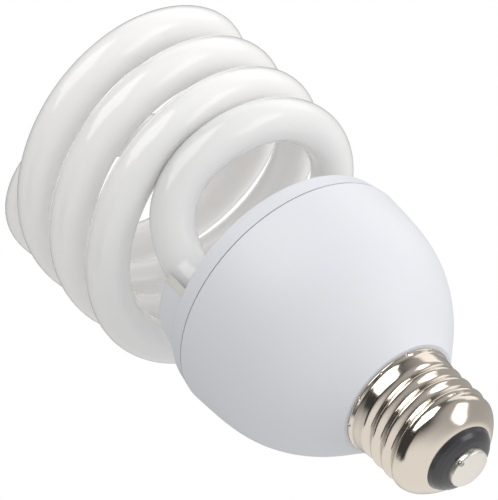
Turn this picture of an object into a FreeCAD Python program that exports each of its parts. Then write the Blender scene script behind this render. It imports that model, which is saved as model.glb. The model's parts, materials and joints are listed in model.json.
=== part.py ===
import FreeCAD, Part
import math
import os

# Spiral grow light bulb with a medium Edison screw base.
# Frame: millimetres, +Z along the lamp's axis from the spiral head to the centre contact.
# The origin is on the axis, level with the lowest point of the spiral head, on which the lamp stands.
# Everything stacks upwards from there: spiral, tube cover, ballast housing, screw shell, contact.

V = FreeCAD.Vector
UP = V(0, 0, 1)

# ---- glass tube: one tube bent into a two-strand spiral
tube_d = 10.1            # outside diameter of the glass
coil_r = 31.75           # radius of the tube's centre line
coil_pitch = 27.3        # rise of one strand per turn; the other strand runs half way between
coil_sweep = 403.0       # degrees of even helix in each strand
crossing_half = 9.0      # straight of the crossing at the head, on each side of the axis
head_ease = 9.0          # length over which each strand levels out at the head
leg_r = 24.0             # distance of the two straight legs from the axis
leg_deg = 31.0           # angle of the first leg about the axis; the second is opposite
turn_sweep = 256.0       # degrees from the top of the even helix to the leg
turn_rise = 11.6         # rise of the last turn above the even helix
leg_rise = 20.0          # from the last turn's centre line to the face of the cover
leg_inside = 8.2         # length of leg behind the face of the cover

# ---- tube cover
cover_margin = 1.25      # cover's edge outside the legs
cover_h = 5.4            # face to seam
cover_edge = 1.6         # rounding of the outer edge
cover_wall = 2.0
seam_gap = 0.35          # open line between cover and housing
seam_step = 0.05         # cover's outside inside the housing's at the seam
spigot_h = 3.0           # cover's collar that plugs into the housing
fit_gap = 0.15           # clearance between plastic pieces
leg_gap = 0.5            # clearance round each leg, filled with cement
hood_h = 8.0             # height of the hood behind each leg
hood_inward = 5.7        # hood's inner side inside the legs' centre lines
hood_outward = 5.2       # hood's outer side outside the legs' centre lines
hood_sweep = 36.0        # degrees from the leg's centre line to the foot of the ramp
hood_flat = 20.0         # degrees of level top
hood_round = 2.8         # rounding of the hood's outer edges
hood_inner_round = 1.2   # rounding of the hood's inner edge
cement_collar = 1.5      # width of the cement collar inside the cover
cement_h = 2.2
cement_gap = 0.03

# ---- ballast housing
housing_swell = 0.7      # housing's radius over the cover's at the seam
housing_h = 37.0         # seam to neck
housing_wall = 1.65
neck_ring_r = 14.5       # raised ring round the end of the screw shell
neck_wall = 1.5
neck_h = 15.4            # plastic neck inside the screw shell
neck_floor = 1.8

# ---- screw base, medium Edison thread, 7 threads per inch
thread_r = 13.1          # crest radius
thread_pitch = 3.629
thread_depth = 1.05
thread_phase = 52.0      # degrees, places the crest as seen
shell_h = 20.35          # rim to the lip that grips the insulator
shell_t = 0.3            # sheet thickness
shell_lip_r = 8.3        # radius of the lip
shell_dome_h = 5.6       # height over which the shell closes in to the lip
shell_flare = 0.25       # flare of the skirt below the bead
rim_bead = 0.65          # beaded rim outside the thread's crests
skirt_h = 3.6            # plain band between rim and thread
thread_fade = 1.9        # length over which the thread fades at each end
crimp_count = 12
crimp_deg = 24.0         # angle of the first crimp mark
crimp_r = 0.55
crimp_up = 0.7           # from the rim to the crimp marks
insulator_flat_r = 5.05  # flat under the contact
insulator_cone_h = 2.65  # lip to flat
insulator_depth = 2.6    # part of the insulator behind the lip
insulator_bore = 1.0
contact_r = 4.7
contact_h = 1.5
contact_flat_r = 2.4     # level middle of the contact
contact_dome = 0.2       # fall from the middle to the edge
solder_r = 0.75
solder_deg = 6.0

# ---- circuit board and what it carries
board_gap = 1.45         # board's edge to the housing's wall at the seam
board_t = 1.6
board_above_seam = 5.2
post_r = 2.2             # plastic posts under the board
post_inset = 2.0         # ring of the posts inside the legs' centre lines
bus_cap_r = 8.0
bus_cap_h = 24.0
bus_cap_xy = (3.2, 3.0)
choke_xy = (-14.4, 0.0)
choke_x = 13.6           # core, across
choke_y = 16.0           # core, along
choke_h = 13.6
choke_leg = 3.2          # width of the core's outer legs and yokes
bobbin_wall = 0.7
bobbin_gap = 0.1
toroid_xy = (0.5, -17.0)
toroid_out = 5.0
toroid_in = 2.6
toroid_h = 3.8
toroid_lift = 0.9
toroid_wire = 0.3
drum_xy = (13.6, 14.2)
drum_r = 4.2
drum_h = 8.4
drum_core_r = 1.8
drum_flange = 1.3
wire_r = 0.6
lead_r = 0.3
lead_spread = 2.6

tube_r = tube_d / 2.0
helix_slope = coil_pitch / (2 * math.pi * coil_r)
bend_r = (coil_r ** 2 - crossing_half ** 2) / (2 * coil_r)   # inward bend that meets the crossing
cover_r = leg_r + tube_r + cover_margin
housing_r = cover_r + housing_swell
hood_in = leg_r - hood_inward
hood_out = leg_r + hood_outward
post_ring = leg_r - post_inset
shell_rim_r = thread_r + rim_bead
board_r = housing_r - housing_wall - board_gap
plan_scale = board_r / 27.9   # the board's parts are drawn for a board of this radius

# ---- levels
z_head = tube_r                                   # centre line of the crossing at the head
z_coil_0 = z_head + helix_slope * head_ease / 2   # even helix starts
z_coil_1 = z_coil_0 + coil_pitch * coil_sweep / 360
z_turn = z_coil_1 + turn_rise
z_face = z_turn + leg_rise                        # face of the cover
z_seam = z_face + cover_h
z_board = z_seam + board_above_seam
z_parts = z_board + board_t
z_neck = z_seam + housing_h                       # end of the housing, rim of the screw shell
z_neck_top = z_neck + neck_h
z_lip = z_neck + shell_h
z_flat = z_lip + insulator_cone_h
z_tip = z_flat + contact_h


def polar(r, deg, z):
    a = math.radians(deg)
    return V(r * math.cos(a), r * math.sin(a), z)


def save(name, shape):
    if isinstance(shape, list):
        shape = Part.makeCompound(shape)
    shape.exportStep(os.path.join("parts", name + ".step"))
    print(name, "solids", len(shape.Solids), "volume", round(shape.Volume, 1), shape.isValid())


def revolve_profile(edges):
    face = Part.Face(Part.Wire(Part.sortEdges(edges)[0]))
    return face.revolve(V(0, 0, 0), UP, 360)


def revolve_points(points):
    pts = [V(r, 0, z) for r, z in points]
    return Part.Face(Part.makePolygon(pts + pts[:1])).revolve(V(0, 0, 0), UP, 360)


def ring(r_in, r_out, z, h, centre=(0, 0)):
    at = V(centre[0], centre[1], z)
    body = Part.makeCylinder(r_out, h, at)
    return body.cut(Part.makeCylinder(r_in, h, at)) if r_in > 0 else body


def block(x, y, z, w, d, h, deg=0.0):
    b = Part.makeBox(w, d, h, V(x - w / 2, y - d / 2, z))
    if deg:
        b.rotate(V(x, y, z), UP, deg)
    return b


def opposite(shape):
    other = shape.copy()
    other.rotate(V(0, 0, 0), UP, 180)
    return other


class Tube:
    # Sweeps a circle along straight runs and arcs that follow each other without a kink.
    def __init__(self, start, direction, radius):
        self.at, self.dir = start, direction.normalize()
        self.ring = Part.Circle(start, self.dir, radius).toShape()
        self.first, self.faces = self.ring.copy(), []
        self.length = 0.0

    def straight(self, length):
        step = self.dir * length
        self.faces += self.ring.extrude(step).Faces
        self.ring.translate(step)
        self.at = self.at + step
        self.length += length

    def arc_to(self, point):
        # the arc that leaves along the present direction and ends at the point
        chord = point.sub(self.at)
        side = chord - self.dir * chord.dot(self.dir)
        if side.Length < 1e-5 * chord.Length:
            return self.straight(chord.Length)
        axis = self.dir.cross(side).normalize()
        radius = chord.dot(chord) / (2 * side.Length)
        centre = self.at + side.normalize() * radius
        turn = 2 * math.degrees(math.atan2((chord - self.dir * chord.dot(self.dir)).Length, chord.dot(self.dir)))
        self.faces += self.ring.revolve(centre, axis, turn).Faces
        self.ring.rotate(centre, axis, turn)
        self.dir = FreeCAD.Rotation(axis, turn).multVec(self.dir).normalize()
        self.at = point
        self.length += radius * math.radians(turn)

    def solid(self):
        caps = [Part.Face(Part.Wire(self.first)), Part.Face(Part.Wire(self.ring))]
        skin = Part.makeCompound(self.faces + caps)
        skin.sewShape()
        body = Part.Solid(skin.Shells[0])
        if body.Volume < 0:
            body.reverse()
        return body


def between(p, t, q, u):
    # the point where two equal-legged tangent arcs from (p, t) to (q, u) meet
    t, u = V(t).normalize(), V(u).normalize()
    v, w = q.sub(p), t + u
    a, b, c = 2 * (1 - t.dot(u)), 2 * v.dot(w), -v.dot(v)
    if a < 1e-9:
        d = -c / b
    else:
        d = (-b + math.sqrt(b * b - 4 * a * c)) / (2 * a)
    return (p + t * d + q - u * d) * 0.5


def wire(points, radius, bend):
    # round wire: straight runs joined by arcs of one bend radius
    tube = Tube(points[0], points[1].sub(points[0]), radius)
    for before, corner, after in zip(points, points[1:], points[2:]):
        a, b = corner.sub(before).normalize(), after.sub(corner).normalize()
        cut = bend * math.tan(a.getAngle(b) / 2)
        tube.straight((corner - a * cut).sub(tube.at).Length)
        tube.arc_to(corner + b * cut)
    tube.straight(points[-1].sub(tube.at).Length)
    return tube.solid()


# ---- glass tube
# Centre line of one strand from the axis at the head to the end of its leg.
# Last turn: share of turn_sweep, share of the way from coil_r to leg_r, share of turn_rise.
last_turn = [(0.055, -0.026, 0.112), (0.109, -0.055, 0.233), (0.164, -0.07, 0.349), (0.219, -0.066, 0.461),
             (0.273, -0.043, 0.569), (0.328, 0.0, 0.664), (0.383, 0.045, 0.741), (0.441, 0.078, 0.802),
             (0.50, 0.092, 0.845), (0.559, 0.097, 0.877), (0.613, 0.102, 0.908), (0.672, 0.122, 0.938),
             (0.729, 0.174, 0.965), (0.787, 0.258, 1.0)]
# Rise into the leg: share of turn_sweep, share of the radius step, share of leg_rise.
rise = [(0.848, 0.362, 0.045), (0.906, 0.52, 0.16), (0.956, 0.775, 0.374), (0.99, 0.978, 0.68)]

gamma = math.asin(bend_r / (coil_r - bend_r))
turn_in = math.pi / 2 + gamma                     # angle of the inward bend
theta_top = leg_deg - turn_sweep
theta_end = theta_top - coil_sweep


def bend_point(s):
    # s is the length along the inward bend from the helix's end, in plan
    end = math.radians(theta_end)
    inward = V(-math.cos(end), -math.sin(end), 0)
    along = V(math.sin(end), -math.cos(end), 0)
    a = s / bend_r
    p = polar(coil_r, theta_end, 0) + along * (bend_r * math.sin(a)) + inward * (bend_r * (1 - math.cos(a)))
    left = max(0.0, head_ease - s)
    z = z_head + helix_slope * left * left / (2 * head_ease)
    return V(p.x, p.y, z)


def strand_points():
    bend_len = bend_r * turn_in
    points = [bend_point(bend_len * k / 6.0) for k in range(6, 0, -1)]
    steps = max(8, int(round(coil_sweep / 30.0)))
    for k in range(steps + 1):
        points.append(polar(coil_r, theta_end + coil_sweep * k / steps, z_coil_0 + (z_coil_1 - z_coil_0) * k / steps))
    for sweep, share, up in last_turn:
        points.append(polar(coil_r + (leg_r - coil_r) * share, theta_top + turn_sweep * sweep,
                            z_coil_1 + turn_rise * up))
    for sweep, share, up in rise:
        points.append(polar(coil_r + (leg_r - coil_r) * share, theta_top + turn_sweep * sweep, z_turn + leg_rise * up))
    points.append(polar(leg_r, leg_deg, z_turn + leg_rise * 0.9))
    return points


def discharge_tube():
    points = strand_points()
    out = V(points[0].x, points[0].y, 0).normalize()
    # the curve runs on a little into the straight at each end, so that it leaves without a kink
    run = 4.0
    curve = Part.BSplineCurve()
    curve.interpolate([points[0] - out * run] + points + [points[-1] + UP * run])
    tangents = [V(*curve.tangent(curve.parameter(p))[0]) for p in points]
    tangents[0], tangents[-1] = out, UP
    flip = FreeCAD.Rotation(UP, 180)
    # from the end of the second leg, through the head, to the end of the first leg
    path = [(flip.multVec(p), flip.multVec(t) * -1) for p, t in zip(points, tangents)][::-1]
    path += list(zip(points, tangents))
    leg_end = z_face + leg_inside
    tube = Tube(V(path[0][0].x, path[0][0].y, leg_end), V(0, 0, -1), tube_r)
    tube.straight(leg_end - path[0][0].z)
    for (p, t), (q, u) in zip(path, path[1:]):
        if abs(t.getAngle(q.sub(p))) < 1e-6:
            tube.straight(q.sub(tube.at).Length)
            continue
        tube.arc_to(between(tube.at, tube.dir, q, u))
        tube.arc_to(q)
    tube.straight(leg_end - tube.at.z)
    body = tube.solid()
    print("tube length", round(tube.length, 1), "section x length", round(math.pi * tube_r ** 2 * tube.length, 1),
          "arcs", len(tube.faces))
    return body


# ---- ballast housing
# Outline of the bowl: share of the height from the neck, share of the radius step.
bowl = [(0.0, 0.0), (0.1, 0.2), (0.221, 0.45), (0.361, 0.672), (0.501, 0.826), (0.641, 0.918),
        (0.782, 0.964), (0.9, 0.985), (1.0, 1.0)]


def housing_curves():
    outer = [V(neck_ring_r + (housing_r - neck_ring_r) * share, 0, z_neck - housing_h * up) for up, share in bowl]
    outside = Part.BSplineCurve()
    outside.interpolate(outer)
    inner = []
    first, last = outside.FirstParameter, outside.LastParameter
    for k in range(25):
        u = first + (last - first) * k / 24.0
        p, t = outside.value(u), V(*outside.tangent(u)[0])
        inner.append(p + V(t.z, 0, -t.x) * housing_wall)
    inner = [p for p in inner if z_seam + 0.5 < p.z < z_neck - neck_floor - 0.6]
    inner = [V(inner[0].x - 1.0, 0, z_neck - neck_floor)] + inner
    inner.append(V(housing_r - housing_wall, 0, z_seam))
    inside = Part.BSplineCurve()
    inside.interpolate(inner)
    return outside, inside, inner


def housing_inner_r(z):
    inner = housing_curves()[2]
    for a, b in zip(inner, inner[1:]):
        if b.z <= z <= a.z:
            return a.x + (b.x - a.x) * (a.z - z) / (a.z - b.z)
    return inner[-1].x


shell_in_r = thread_r - thread_depth - shell_t
neck_r = shell_in_r - fit_gap
spigot_r = housing_inner_r(z_seam + spigot_h) - fit_gap


def ballast_housing():
    outside, inside, inner = housing_curves()
    top = inner[0]
    pts = [V(neck_ring_r, 0, z_neck), V(neck_r, 0, z_neck), V(neck_r, 0, z_neck_top),
           V(neck_r - neck_wall, 0, z_neck_top), V(neck_r - neck_wall, 0, z_neck - neck_floor), top]
    edges = [Part.LineSegment(a, b).toShape() for a, b in zip(pts, pts[1:])]
    edges += [outside.toShape(), inside.toShape(),
              Part.LineSegment(V(housing_r, 0, z_seam), V(housing_r - housing_wall, 0, z_seam)).toShape()]
    return revolve_profile(edges)


# ---- tube cover
def hood():
    # a rounded ridge that starts at the leg and runs down to the face along a ramp
    top, low, m = z_face - hood_h, z_face + cover_wall / 2, math.sqrt(0.5)
    ro, ri = hood_round, hood_inner_round
    corner_out = Part.Arc(V(hood_out, 0, top + ro), V(hood_out - ro + ro * m, 0, top + ro - ro * m),
                          V(hood_out - ro, 0, top)).toShape()
    corner_in = Part.Arc(V(hood_in + ri, 0, top), V(hood_in + ri - ri * m, 0, top + ri - ri * m),
                         V(hood_in, 0, top + ri)).toShape()
    pts = [V(hood_in, 0, top + ri), V(hood_in, 0, low), V(hood_out, 0, low), V(hood_out, 0, top + ro)]
    edges = [Part.LineSegment(a, b).toShape() for a, b in zip(pts, pts[1:])]
    edges += [corner_out, corner_in, Part.LineSegment(V(hood_out - ro, 0, top), V(hood_in + ri, 0, top)).toShape()]
    body = Part.Face(Part.Wire(Part.sortEdges(edges)[0])).revolve(V(0, 0, 0), UP, hood_sweep)
    a, b = math.radians(hood_flat), math.radians(hood_sweep)
    knee = V(hood_out * math.cos(a), hood_out * math.sin(a), top)
    foot = V(hood_out * math.cos(b), hood_out * math.sin(b), z_face)
    beyond = foot + foot.sub(knee) * 0.3
    out = V(knee.x, knee.y, 0).normalize() * (hood_out + 8.0)
    drop = UP * (-2 * hood_h)
    ramp = Part.Face(Part.makePolygon([knee, beyond, beyond + drop, knee + drop, knee])).extrude(out * -2)
    ramp.translate(out)
    body = body.cut(ramp)
    body.rotate(V(0, 0, 0), UP, leg_deg)
    return body


def plain_cover():
    e = cover_edge
    m = math.sqrt(0.5)
    z0, z1 = z_face, z_seam - seam_gap
    outer_r = housing_r - seam_step
    corner = Part.Arc(V(cover_r - e, 0, z0), V(cover_r - e + e * m, 0, z0 + e - e * m), V(cover_r, 0, z0 + e)).toShape()
    pts = [V(cover_r, 0, z0 + e), V(outer_r, 0, z1), V(spigot_r, 0, z1), V(spigot_r, 0, z1 + spigot_h),
           V(spigot_r - cover_wall, 0, z1 + spigot_h), V(spigot_r - cover_wall, 0, z0 + cover_wall),
           V(0, 0, z0 + cover_wall), V(0, 0, z0), V(cover_r - e, 0, z0)]
    edges = [corner] + [Part.LineSegment(a, b).toShape() for a, b in zip(pts, pts[1:])]
    body = revolve_profile(edges)
    one = hood()
    return body.fuse([one, opposite(one)])


def leg_cylinder(radius, z0, z1, which=0):
    p = polar(leg_r, leg_deg + 180 * which, z0)
    return Part.makeCylinder(radius, z1 - z0, p)


def tube_cover(solid_cover):
    body = solid_cover
    for which in (0, 1):
        body = body.cut(leg_cylinder(tube_r + leg_gap, z_face - hood_h - 2, z_seam + spigot_h + 1, which))
    for k in (1, 2, 4, 5):
        p = polar(post_ring, leg_deg + 60 * k, z_face + cover_wall / 2)
        body = body.fuse(Part.makeCylinder(post_r, z_board - p.z, p))
    return body.removeSplitter()


def tube_cement(solid_cover):
    parts = []
    for which in (0, 1):
        sleeve = leg_cylinder(tube_r + leg_gap - cement_gap, z_face - hood_h, z_face + cover_wall, which)
        sleeve = sleeve.common(solid_cover)
        collar = leg_cylinder(tube_r + leg_gap + cement_collar, z_face + cover_wall,
                              z_face + cover_wall + cement_h, which)
        collar = collar.common(Part.makeCylinder(spigot_r - cover_wall - cement_gap, z_seam, V(0, 0, z_face)))
        body = sleeve.fuse(collar)
        parts.append(body.cut(leg_cylinder(tube_r + cement_gap, z_face - hood_h - 1,
                                           z_face + cover_wall + cement_h + 1, which)).removeSplitter())
    return parts


# ---- screw shell: thin sheet with a rolled thread
# Closing of the shell: share of its height, share of the way from the thread to the lip.
dome = [(0.0, 0.0), (0.125, 0.03), (0.25, 0.075), (0.38, 0.15), (0.52, 0.27), (0.65, 0.415), (0.78, 0.565),
        (0.885, 0.7), (0.955, 0.81), (0.99, 0.9), (1.0, 1.0)]


def shell_profile():
    # (radius, z) of the plain outside from the rim to the lip, without the thread
    z0 = z_neck + 0.02
    skirt = thread_r + shell_flare
    pts = [(shell_rim_r - 0.25, z0), (shell_rim_r - 0.03, z0 + 0.15), (shell_rim_r, z0 + 0.4),
           (shell_rim_r - 0.04, z0 + 0.65), (skirt + 0.1, z0 + 0.95), (skirt - 0.02, z0 + 1.2), (skirt, z0 + 1.5)]
    z_dome = z_lip - shell_dome_h
    z = z0 + 1.9
    while z < z_dome - 0.2:
        pts.append((thread_r + shell_flare * max(0.0, 1 - (z - z0 - 1.9) / (skirt_h - 1.9)), z))
        z += thread_pitch / 9
    for up, share in dome:
        pts.append((thread_r + (shell_lip_r - thread_r) * share, z_dome + shell_dome_h * up))
    return pts


def thread_cut(z, deg):
    lo, hi = z_neck + skirt_h, z_lip - shell_dome_h * 0.8

    def ease(x):
        x = min(1.0, max(0.0, x))
        return x * x * (3 - 2 * x)

    share = ease((z - lo) / thread_fade) * ease((hi - z) / thread_fade)
    phase = 2 * math.pi * (z - z_neck) / thread_pitch - math.radians(deg - thread_phase)
    return thread_depth * share * (0.5 - 0.56 * math.cos(phase))


def sheet_surface(profile):
    columns = 60
    grow = 3 / (2 + math.cos(2 * math.pi / columns))
    net = []
    for r, z in profile:
        row = []
        for k in range(columns):
            deg = 360.0 * k / columns
            row.append(polar((r - max(0.0, thread_cut(z, deg) + 0.03 * thread_depth) if r > thread_r - 1.6
                              else r) * grow, deg, z))
        net.append(row)
    rows = len(net)
    surface = Part.BSplineSurface()
    surface.buildFromPolesMultsKnots(net, [4] + [1] * (rows - 4) + [4], [1] * (columns + 1),
                                     [float(k) for k in range(rows - 2)], [float(k) for k in range(columns + 1)],
                                     False, True, 3, 3)
    return surface.toShape()


def screw_shell():
    outside = shell_profile()
    inside = []
    for k, (r, z) in enumerate(outside):
        a = outside[max(0, k - 1)]
        b = outside[min(len(outside) - 1, k + 1)]
        dr, dz = b[0] - a[0], b[1] - a[1]
        n = math.hypot(dr, dz)
        inside.append((r - shell_t * dz / n, z + shell_t * dr / n))
    # keep the two ends square across the sheet
    inside[0] = (inside[0][0], outside[0][1])
    inside[-1] = (outside[-1][0], inside[-1][1])
    outer, inner = sheet_surface(outside), sheet_surface(inside)

    def ends(face):
        closed = [e for e in face.Edges if e.isClosed()]
        return sorted(closed, key=lambda e: e.BoundBox.ZMin)

    (rim_a, lip_a), (rim_b, lip_b) = ends(outer), ends(inner)
    skin = Part.makeCompound([outer, inner, Part.makeRuledSurface(rim_a, rim_b), Part.makeRuledSurface(lip_a, lip_b)])
    skin.sewShape()
    body = Part.Solid(skin.Shells[0])
    if body.Volume < 0:
        body.reverse()
    for k in range(crimp_count):
        p = polar(shell_rim_r + crimp_r * 0.45, crimp_deg + 360.0 * k / crimp_count, z_neck + crimp_up)
        body = body.cut(Part.makeSphere(crimp_r, p))
    return body


def base_insulator():
    # glass fill: a rounded cone outside the lip, a flange behind it
    r0 = shell_lip_r - 0.06
    cone = [(0.0, 0.0), (0.34, 0.13), (0.65, 0.36), (0.86, 0.64), (1.0, 0.97)]
    pts = [(insulator_bore, z_flat)]
    pts += [(insulator_flat_r + (r0 - insulator_flat_r) * a, z_flat - insulator_cone_h * b) for a, b in cone]
    foot = z_lip - insulator_depth
    pts += [(r0, z_lip - shell_t - 0.45), (r0 + 0.7, z_lip - shell_t - 1.0), (shell_in_r - 2.0, foot),
            (shell_in_r - 2.0, foot - 0.8), (insulator_bore, foot - 0.8)]
    return revolve_points(pts)


def centre_contact():
    c = contact_r
    low = z_tip - contact_dome
    f = contact_flat_r
    edges = [Part.LineSegment(V(0, 0, z_tip), V(f, 0, z_tip)).toShape(),
             Part.Arc(V(f, 0, z_tip), V((f + c - 0.5) / 2, 0, z_tip - contact_dome * 0.28), V(c - 0.5, 0, low)).toShape(),
             Part.Arc(V(c - 0.5, 0, low), V(c - 0.12, 0, low - 0.16), V(c, 0, low - 0.5)).toShape(),
             Part.LineSegment(V(c, 0, low - 0.5), V(c, 0, z_flat)).toShape(),
             Part.LineSegment(V(c, 0, z_flat), V(0, 0, z_flat)).toShape(),
             Part.LineSegment(V(0, 0, z_flat), V(0, 0, z_tip)).toShape()]
    return revolve_profile(edges)


def contact_solder(contact):
    p = polar(contact_r - 0.55, solder_deg, z_tip - contact_dome - 0.18)
    return Part.makeSphere(solder_r, p - UP * 0.25).cut(contact).Solids[0:1]


# ---- circuit board and its parts
def board():
    return Part.makeCylinder(board_r, board_t, V(0, 0, z_board))


def on_board(shapes):
    # takes the parts drawn for the plan's board to the real one
    if not isinstance(shapes, (list, tuple)):
        shapes = [shapes]
    out = []
    for shape in shapes:
        shape = shape.copy()
        shape.scale(plan_scale, V(0, 0, z_parts))
        out.append(shape)
    return out


def choke_core():
    # two E halves that meet in the middle of the winding
    x, y = choke_xy
    halves = []
    for side in (-1, 1):
        w = choke_y / 2
        yc = y + side * w / 2
        body = block(x, yc, z_parts, choke_x, w, choke_h)
        slot = (choke_x - 3 * choke_leg) / 2
        depth = w - choke_leg
        ys = y + side * depth / 2
        for s in (-1, 1):
            body = body.cut(block(x + s * (choke_leg / 2 + slot / 2), ys, z_parts - 1, slot, depth, choke_h + 2))
        halves.append(body)
    return halves


def choke_bobbin():
    x, y = choke_xy
    slot = (choke_x - 3 * choke_leg) / 2
    g = bobbin_gap
    length = choke_y - 2 * choke_leg - 2 * g
    outer = block(x, y, z_parts, choke_leg + 2 * (bobbin_wall + g), length, choke_h)
    return outer.cut(block(x, y, z_parts - 1, choke_leg + 2 * g, length + 2, choke_h + 2)), slot, length


def choke_winding(slot, length):
    # copper on both long sides of the bobbin, wound through the core's windows
    x, y = choke_xy
    w = slot - bobbin_wall - 3 * bobbin_gap
    parts = []
    for s in (-1, 1):
        xc = x + s * (choke_leg / 2 + bobbin_gap + bobbin_wall + bobbin_gap / 2 + w / 2)
        parts.append(block(xc, y, z_parts + 0.6, w, length - 0.8, choke_h - 1.2))
    return parts


def toroid():
    z = z_parts + toroid_lift
    core = ring(toroid_in, toroid_out, z, toroid_h, toroid_xy)
    mean, half = (toroid_in + toroid_out) / 2, (toroid_out - toroid_in) / 2
    loops = []
    for deg in (0, 27, 54, 120, 147, 174, 240, 267):
        a = math.radians(deg)
        c = V(toroid_xy[0] + mean * math.cos(a), toroid_xy[1] + mean * math.sin(a), z + toroid_h / 2)
        g, w = 0.05, 2 * toroid_wire
        hi = block(c.x, c.y, c.z - toroid_h / 2 - g - w, 2 * (half + g + w), w, toroid_h + 2 * (g + w), deg)
        hole = block(c.x, c.y, c.z - toroid_h / 2 - g, 2 * (half + g), 2 * w, toroid_h + 2 * g, deg)
        loops.append(hi.cut(hole))
    return core, loops


def drum_choke():
    x, y = drum_xy
    f = drum_flange
    core = revolve_points([(0, z_parts), (drum_r, z_parts), (drum_r, z_parts + f), (drum_core_r, z_parts + f),
                           (drum_core_r, z_parts + drum_h - f), (drum_r, z_parts + drum_h - f),
                           (drum_r, z_parts + drum_h), (0, z_parts + drum_h)])
    core.translate(V(x, y, 0))
    coil = ring(drum_core_r + 0.05, drum_r - 0.3, z_parts + f + 0.05, drum_h - 2 * f - 0.1, drum_xy)
    return core, coil


def lying(x, y, length, radius, deg):
    # round part that lies on the board
    c = V(x, y, z_parts + radius)
    a = math.radians(deg)
    d = V(math.cos(a), math.sin(a), 0)
    return Part.makeCylinder(radius, length, c - d * (length / 2), d)


def main():
    os.makedirs("parts", exist_ok=True)
    save("discharge_tube", discharge_tube())
    solid_cover = plain_cover()
    save("tube_cover", tube_cover(solid_cover))
    save("tube_cement", tube_cement(solid_cover))
    save("ballast_housing", ballast_housing())
    save("screw_shell", screw_shell())
    save("base_insulator", base_insulator())
    contact = centre_contact()
    save("centre_contact", contact)
    save("contact_solder", contact_solder(contact))

    save("circuit_board", board())
    save("bus_capacitor", on_board(ring(0, bus_cap_r, z_parts, bus_cap_h, bus_cap_xy)))
    save("choke_core", on_board(choke_core()))
    bobbin, slot, length = choke_bobbin()
    save("choke_bobbin", on_board(bobbin.Solids))
    save("choke_winding", on_board(choke_winding(slot, length)))
    core, loops = toroid()
    save("toroid_core", on_board(core))
    save("toroid_windings", on_board(loops))
    core, coil = drum_choke()
    save("filter_core", on_board(core))
    save("filter_winding", on_board(coil))
    save("film_capacitors", on_board([block(15.6, 3.0, z_parts, 4.6, 11.0, 10.0),
                                      block(21.2, 2.0, z_parts, 4.4, 9.0, 8.0),
                                      block(-13.0, 14.6, z_parts, 10.0, 4.6, 9.0)]))
    save("resonant_capacitor", on_board(block(0.5, 17.6, z_parts, 13.0, 5.2, 11.0)))
    save("transistors", on_board([block(x, y, z_parts, 7.6, 2.8, 10.6, 35) for x, y in ((11.5, -12.8), (18.6, -8.6))]))
    save("rectifier_diodes", on_board([lying(-17.0 + 3.4 * k, -14.6, 5.0, 1.35, 90) for k in range(4)]))
    save("diac", on_board(lying(7.6, -19.0, 3.6, 0.9, 90)))
    save("resistors", on_board([lying(x, 22.6, 6.0, 1.1, 0) for x in (-7.5, 0.5, 8.5)]))
    save("fusible_resistor", on_board(lying(-21.5, 11.6, 7.0, 1.5, 60)))

    leads = []
    for which in (0, 1):
        for s in (-1, 1):
            c = polar(leg_r, leg_deg + 180 * which, z_face + leg_inside)
            side = polar(1.0, leg_deg + 90, 0)
            leads.append(Part.makeCylinder(lead_r, z_board - c.z, c + side * (s * lead_spread / 2)))
    save("tube_leads", leads)
    x0 = ((choke_xy[0] + choke_x / 2 + bus_cap_xy[0] - bus_cap_r) / 2 + 0.1) * plan_scale
    z0 = z_parts + (bus_cap_h - 1) * plan_scale
    save("live_wire", wire([V(x0, 0, z_parts), V(x0, 0, z0), V(0, 0, z_neck_top - 6), V(0, 0, z_flat)],
                           wire_r, 6.0))
    y1 = -(shell_in_r - 0.05)
    z1 = z_neck_top + 0.9
    y0 = -7.6 * plan_scale
    save("neutral_wire", wire([V(0, y0, z_parts), V(0, y0, z1), V(0, y1, z1)], wire_r, 1.4))
    print("overall length", round(z_tip, 2), "seam", round(z_seam, 2), "face", round(z_face, 2),
          "board room", round(housing_inner_r(z_board) - board_r, 2))


main()
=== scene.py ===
import json
import math

import bpy
import numpy as np
from mathutils import Matrix, Vector


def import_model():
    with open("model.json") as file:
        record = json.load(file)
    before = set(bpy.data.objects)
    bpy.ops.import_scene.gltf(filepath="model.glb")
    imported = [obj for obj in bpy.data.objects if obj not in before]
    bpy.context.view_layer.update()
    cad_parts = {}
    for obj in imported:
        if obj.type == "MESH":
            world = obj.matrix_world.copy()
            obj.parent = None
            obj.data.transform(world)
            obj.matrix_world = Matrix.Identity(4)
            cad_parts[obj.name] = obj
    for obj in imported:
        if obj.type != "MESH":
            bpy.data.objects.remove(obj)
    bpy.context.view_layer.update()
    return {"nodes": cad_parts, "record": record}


# The lamp stands on its spiral head, base up. Lengths are in metres.

# Camera, fitted to the photograph
IMAGE_W, IMAGE_H = 498, 500
FOCAL_PX = 2346.5
CENTRE_PX = (249.0, 250.0)
SENSOR_MM = 36.0
CLIP_NEAR, CLIP_FAR = 0.01, 10.0
TIP_PX = (470.07, 469.42)             # where the lamp's tip is seen
TIP_HEIGHT = 0.134377                 # fitted height of that tip over the floor
TIP_DISTANCE = 0.4875                 # from the camera to the tip, along the camera's axis
AXIS_TURN = math.radians(44.21)       # the lamp's axis from the horizontal, in the picture
AXIS_TILT = math.radians(35.82)       # the lamp's axis out of the picture's plane

# Soft boxes as seen from the lamp: direction in camera terms (right, up, towards the camera),
# half width and half height as tangents, strength, softness of the edge.
SOFT_BOXES = [
    ((-0.50, 0.74, 0.46), 0.44, 0.44, 2.6, 0.03),
    ((0.86, 0.30, 0.42), 0.20, 0.34, 2.0, 0.06),
    ((0.35, 0.85, -0.45), 0.70, 0.30, 0.75, 0.10),
]
# A card, given in the same way, that takes light from what shiny surfaces mirror
DARK_CARD = ((-0.78, -0.28, 0.50), 0.26, 0.60, 0.75, 0.12)
LEAST_AHEAD = 0.01                    # how far ahead a direction has to point to meet a box
LEAST_DIVISOR = 0.001

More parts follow.
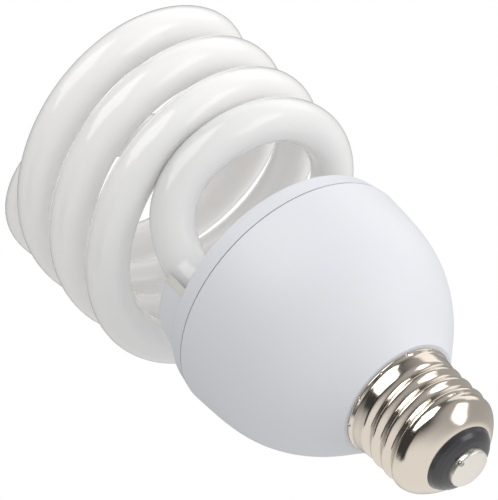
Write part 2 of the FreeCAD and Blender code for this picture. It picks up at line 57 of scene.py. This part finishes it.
# What shiny surfaces mirror: a bright floor, and a dark room that is paler on the right
FLOOR_BRIGHT = 0.86
FLOOR_FADE = (-0.75, 0.20)            # height of direction over which the floor gives way to the room
ROOM_DARK, ROOM_RIGHT = 0.07, 0.34
ROOM_FADE = (-0.15, 0.60)             # sideways direction over which the room pales
DARKEST = 0.04
MIRROR_TINT = (1.0, 0.985, 0.97)

# Soft light on matt surfaces: its middle level, and how it grows with direction
AMBIENT = 0.86
FROM_ABOVE, FROM_RIGHT, FROM_FRONT = 0.31, 0.27, 0.03
WHITE = (1.0, 1.0, 1.0)

# Heights between which the glass's colour goes from its own white to a painted shade, a little greyer,
# towards the cover
PAINTED_SHADE_START, PAINTED_SHADE_FULL = 0.038, 0.050


def camera_basis():
    # the camera's place and its right, up and backward directions, in the lamp's frame
    ct, st = math.cos(AXIS_TURN), math.sin(AXIS_TURN)
    ci, si = math.cos(AXIS_TILT), math.sin(AXIS_TILT)
    # the columns are the lamp's x, y and z in the camera's frame, which runs right, down and away
    head = np.array([-ct * ci, -st * ci, si])
    turn = np.column_stack([-np.array([ct * si, st * si, ci]), np.array([-st, ct, 0.0]), -head])
    right_px, down_px = TIP_PX[0] - CENTRE_PX[0], TIP_PX[1] - CENTRE_PX[1]
    tip = TIP_DISTANCE * np.array([right_px / FOCAL_PX, down_px / FOCAL_PX, 1.0])
    place = -turn.T @ (tip + TIP_HEIGHT * head)
    right, down, away = turn
    return Vector(place), Vector(right), Vector(-down), Vector(-away)


PLACE, RIGHT, UP, BACK = camera_basis()


def add_camera():
    data = bpy.data.cameras.new("camera")
    data.sensor_fit = "HORIZONTAL"
    data.sensor_width = SENSOR_MM
    data.lens = FOCAL_PX * SENSOR_MM / IMAGE_W
    data.clip_start, data.clip_end = CLIP_NEAR, CLIP_FAR
    data.shift_x = (IMAGE_W / 2 - CENTRE_PX[0]) / IMAGE_W
    data.shift_y = (CENTRE_PX[1] - IMAGE_H / 2) / IMAGE_W
    cam = bpy.data.objects.new("camera", data)
    cam.matrix_world = Matrix.Translation(PLACE) @ Matrix((RIGHT, UP, BACK)).transposed().to_4x4()
    bpy.context.scene.collection.objects.link(cam)
    bpy.context.scene.camera = cam


class Nodes:
    # short way to write a node tree
    def __init__(self, tree):
        self.tree = tree
        tree.nodes.clear()

    def add(self, kind, **settings):
        node = self.tree.nodes.new(kind)
        for key, value in settings.items():
            setattr(node, key, value)
        return node

    def put(self, socket, value):
        # links the socket to another node's output, or sets it to a value
        if isinstance(value, bpy.types.NodeSocket):
            self.tree.links.new(value, socket)
        else:
            socket.default_value = value

    def math(self, operation, a, b=None):
        node = self.add("ShaderNodeMath", operation=operation)
        self.put(node.inputs[0], a)
        if b is not None:
            self.put(node.inputs[1], b)
        return node.outputs[0]

    def plus(self, a, b):
        return self.math("ADD", a, b)

    def times(self, a, b):
        return self.math("MULTIPLY", a, b)

    def one_minus(self, a):
        return self.math("SUBTRACT", 1.0, a)

    def along(self, coord, direction):
        node = self.add("ShaderNodeVectorMath", operation="DOT_PRODUCT")
        self.put(node.inputs[0], coord)
        self.put(node.inputs[1], direction)
        return node.outputs["Value"]

    def smooth(self, value, low, high):
        node = self.add("ShaderNodeMapRange", interpolation_type="SMOOTHSTEP")
        self.put(node.inputs["From Min"], low)
        self.put(node.inputs["From Max"], high)
        self.put(node.inputs["Value"], value)
        return node.outputs["Result"]

    def blend(self, value, first, last):
        node = self.add("ShaderNodeValToRGB")
        for stop, color in zip(node.color_ramp.elements, (first, last)):
            stop.color = (*color, 1.0)
        self.put(node.inputs[0], value)
        return node.outputs[0]

    def light(self, color, strength):
        node = self.add("ShaderNodeBackground")
        self.put(node.inputs["Color"], (*color, 1.0))
        self.put(node.inputs["Strength"], strength)
        return node.outputs[0]

    def mix(self, factor, first, second):
        node = self.add("ShaderNodeMixShader")
        for socket, value in zip(node.inputs, (factor, first, second)):
            self.put(socket, value)
        return node.outputs[0]


def camera_direction(v):
    return (RIGHT * v[0] + UP * v[1] + BACK * v[2]).normalized()


def soft_box(n, coord, direction, half_w, half_h, strength, soft):
    # a rectangle of light far away in one direction, level with the picture's edges
    d = camera_direction(direction)
    across = (RIGHT - d * RIGHT.dot(d)).normalized()
    high = d.cross(across).normalized()
    ahead = n.math("MAXIMUM", n.along(coord, d), LEAST_DIVISOR)
    mask = n.math("GREATER_THAN", ahead, LEAST_AHEAD)
    for side, half in ((across, half_w), (high, half_h)):
        off = n.math("ABSOLUTE", n.math("DIVIDE", n.along(coord, side), ahead))
        mask = n.times(mask, n.one_minus(n.smooth(off, half - soft, half + soft)))
    return n.times(mask, strength)


def matt_light(n, side, up, toward):
    room = n.plus(n.times(up, FROM_ABOVE), n.times(side, FROM_RIGHT))
    room = n.plus(room, n.times(toward, FROM_FRONT))
    return n.light(WHITE, n.math("MAXIMUM", n.plus(room, AMBIENT), 0.0))


def mirrored_light(n, coord, side, up):
    floor = n.one_minus(n.smooth(up, *FLOOR_FADE))
    room = n.plus(n.times(n.smooth(side, *ROOM_FADE), ROOM_RIGHT), ROOM_DARK)
    shine = n.plus(n.times(floor, FLOOR_BRIGHT), n.times(room, n.one_minus(floor)))
    for box in SOFT_BOXES:
        shine = n.plus(shine, soft_box(n, coord, *box))
    shine = n.math("SUBTRACT", shine, soft_box(n, coord, *DARK_CARD))
    return n.light(MIRROR_TINT, n.math("MAXIMUM", shine, DARKEST))


def add_world():
    # the camera sees plain white, matt surfaces soft light, and shiny ones soft boxes in a dark room
    world = bpy.data.worlds.new("studio")
    bpy.context.scene.world = world
    world.use_nodes = True
    n = Nodes(world.node_tree)
    coord = n.add("ShaderNodeTexCoord").outputs["Generated"]
    side, up, toward = (n.along(coord, d) for d in (RIGHT, UP, BACK))
    ray = n.add("ShaderNodeLightPath").outputs
    light = n.mix(ray["Is Glossy Ray"], matt_light(n, side, up, toward), mirrored_light(n, coord, side, up))
    seen = n.mix(ray["Is Camera Ray"], light, n.light(WHITE, 1.0))
    n.put(n.add("ShaderNodeOutputWorld").inputs["Surface"], seen)


def srgb(*color):
    # linear colour of screen values from 0 to 255
    shares = [c / 255.0 for c in color]
    return tuple(c / 12.92 if c <= 0.04045 else ((c + 0.055) / 1.055) ** 2.4 for c in shares)


def material(name, color, roughness, metallic=0.0, **extra):
    mat = bpy.data.materials.new(name)
    mat.use_nodes = True
    mat.diffuse_color = (*color, 1.0)
    n = Nodes(mat.node_tree)
    out = n.add("ShaderNodeOutputMaterial")
    bsdf = n.add("ShaderNodeBsdfPrincipled")
    n.put(bsdf.inputs["Base Color"], (*color, 1.0))
    n.put(bsdf.inputs["Roughness"], roughness)
    n.put(bsdf.inputs["Metallic"], metallic)
    for key, value in extra.items():
        n.put(bsdf.inputs[key.replace("_", " ")], value)
    n.put(out.inputs["Surface"], bsdf.outputs[0])
    return mat, n, bsdf


def coated_glass():
    # a white coating behind clear glass, with painted shade that greys it towards the ends in the cover
    mat, n, bsdf = material("warm_white_glass", srgb(240, 239, 236), 0.35, Specular_IOR_Level=0.2,
                            Coat_Weight=1.0, Coat_Roughness=0.03, Coat_IOR=1.5, Subsurface_Weight=1.0,
                            Subsurface_Scale=0.012, Subsurface_Radius=(1.0, 0.97, 0.93))
    place = n.add("ShaderNodeSeparateXYZ")
    n.put(place.inputs[0], n.add("ShaderNodeTexCoord").outputs["Object"])
    # painted shade: the colour greys with height, from the coating's own white to a darker grey near the
    # cover
    painted_shade = n.smooth(place.outputs["Z"], PAINTED_SHADE_START, PAINTED_SHADE_FULL)
    n.put(bsdf.inputs["Base Color"], n.blend(painted_shade, srgb(244, 242, 240), srgb(230, 230, 229)))
    return mat


def black_glass():
    return material("black_glass", srgb(52, 51, 55), 0.30, Coat_Weight=0.5, Coat_Roughness=0.12)[0]


def build_materials():
    # colour, roughness and, where it is metal, how metallic it is
    plain = {
        "white_plastic": (srgb(229, 231, 236), 0.45),
        "cement": (srgb(224, 223, 214), 0.75),
        "nickel_plate": (srgb(234, 225, 213), 0.13, 1.0),
        "contact_metal": (srgb(244, 240, 232), 0.30, 0.9),
        "solder": (srgb(190, 188, 184), 0.35, 1.0),
        "board": (srgb(190, 160, 105), 0.5),
        "capacitor_sleeve": (srgb(40, 42, 48), 0.4),
        "ferrite": (srgb(62, 60, 60), 0.6),
        "bobbin_plastic": (srgb(214, 208, 190), 0.5),
        "film_capacitor": (srgb(176, 66, 40), 0.3),
        "dark_resin": (srgb(44, 44, 46), 0.5),
        "diac_glass": (srgb(70, 110, 190), 0.3),
        "resistor_coat": (srgb(206, 190, 150), 0.35),
        "wire_cover": (srgb(40, 40, 42), 0.35),
        "copper": (srgb(200, 120, 70), 0.3, 1.0),
        "lead_wire": (srgb(190, 190, 190), 0.3, 1.0),
    }
    mats = {name: material(name, *look)[0] for name, look in plain.items()}
    mats["warm_white_glass"] = coated_glass()
    mats["black_glass"] = black_glass()
    return mats


def dress(frame, mats):
    slots = {p["node"]: p["material_slot"] for p in frame["record"]["subparts"]}
    for name, obj in frame["nodes"].items():
        obj.data.materials.clear()
        obj.data.materials.append(mats[slots[name]])


def main():
    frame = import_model()
    dress(frame, build_materials())
    add_camera()
    add_world()
    scene = bpy.context.scene
    scene.view_settings.view_transform = "Standard"


main()
